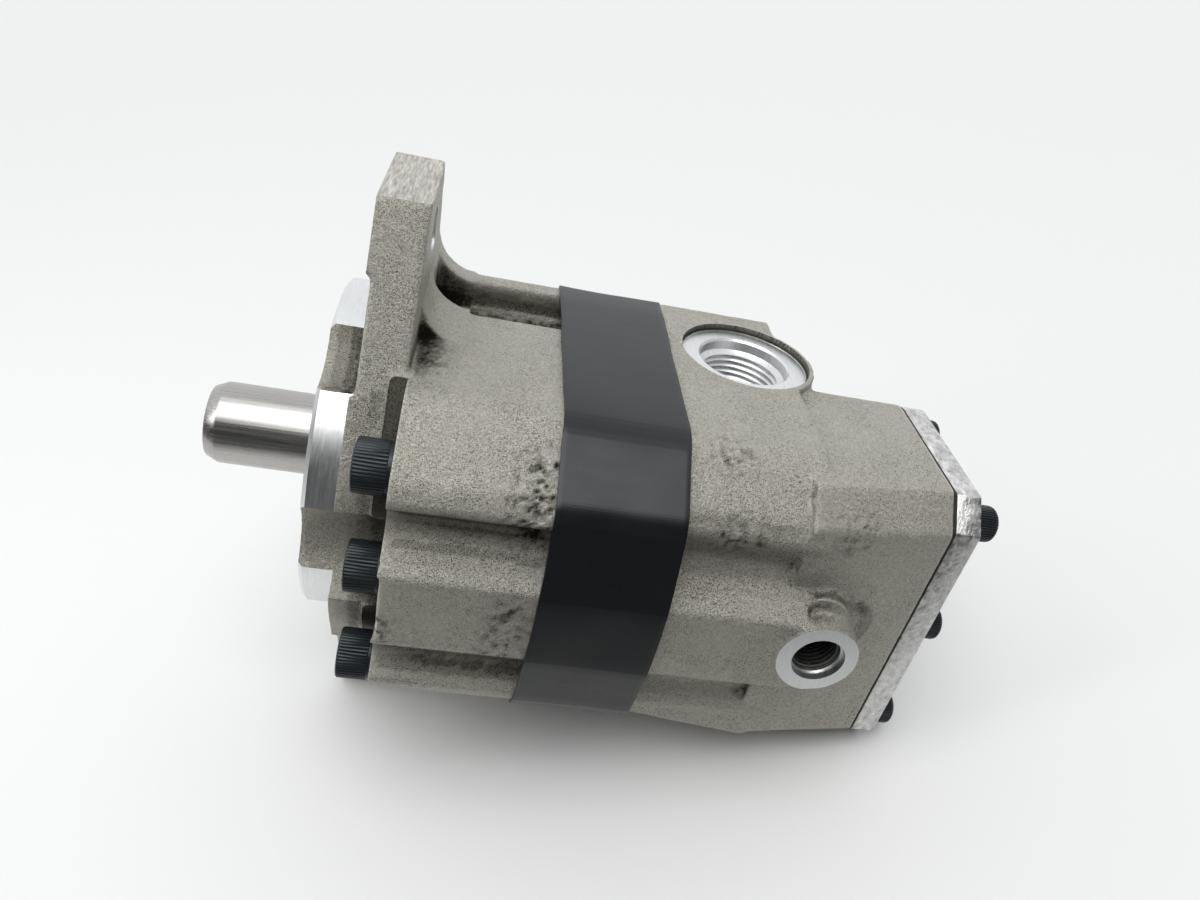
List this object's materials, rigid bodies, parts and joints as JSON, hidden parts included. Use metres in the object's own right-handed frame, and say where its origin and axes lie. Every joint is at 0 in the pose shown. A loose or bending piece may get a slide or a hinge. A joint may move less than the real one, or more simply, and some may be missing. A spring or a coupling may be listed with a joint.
{
  "type": "hydraulic gear pump",
  "caption": "External gear pump with a two-ear mounting flange, keyed drive shaft, cast aluminium housings, side ports and a rubber sleeve over the housing joint.",
  "frame": {"origin": "centre of the drive shaft's free end face", "axes": "+X along the drive shaft from its free end to the rear cover, +Z towards the upper flange ear, -Y towards the driven gear's side of the body"},
  "size_m": [0.2252, 0.1339, 0.1748],
  "materials": {
    "cast_aluminium": "sand cast, matt and lightly soiled",
    "machined_aluminium": "machined and filed",
    "ground_steel": "ground bright",
    "spring_steel": "phosphated",
    "black_oxide_steel": "black oxide, lightly oiled",
    "black_rubber": "satin black rubber",
    "gasket_fibre": "matt dark gasket sheet",
    "bronze": "bored bearing bronze"
  },
  "bodies": {
    "root": {"cover_screw_1": "black_oxide_steel", "cover_screw_2": "black_oxide_steel", "cover_screw_3": "black_oxide_steel", "cover_screw_4": "black_oxide_steel", "cover_screw_5": "black_oxide_steel", "cover_screw_6": "black_oxide_steel", "end_cover": "machined_aluminium", "end_cover_gasket": "gasket_fibre", "front_bearing_block": "machined_aluminium", "front_cap_screw_1": "black_oxide_steel", "front_cap_screw_2": "black_oxide_steel", "front_cap_screw_3": "black_oxide_steel", "front_drive_bush": "bronze", "front_driven_bush": "bronze", "front_housing": "cast_aluminium", "front_pressure_seal": "black_rubber", "joint_dowel_1": "ground_steel", "joint_dowel_2": "ground_steel", "joint_gasket": "gasket_fibre", "joint_sleeve": "black_rubber", "rear_bearing_block": "machined_aluminium", "rear_cap_screw_1": "black_oxide_steel", "rear_cap_screw_2": "black_oxide_steel", "rear_drive_bush": "bronze", "rear_driven_bush": "bronze", "rear_housing": "cast_aluminium", "rear_pressure_seal": "black_rubber", "seal_retaining_ring": "spring_steel", "shaft_seal": "black_rubber"},
    "drive": {"drive_gear_shaft": "ground_steel", "shaft_key": "ground_steel"},
    "driven": {"driven_gear_shaft": "ground_steel"}
  },
  "joints": [
    {"name": "drive_shaft_turn", "type": "hinge", "parent": "root", "child": "drive", "pos_m": [0, 0, 0], "axis": [1, 0, 0], "continuous": true},
    {"name": "driven_gear_turn", "type": "hinge", "parent": "root", "child": "driven", "pos_m": [0, -0.032, 0], "axis": [1, 0, 0], "continuous": true}
  ],
  "couplings": [
    {"joint": "driven_gear_turn", "follows": "drive_shaft_turn", "ratio": -1}
  ]
}
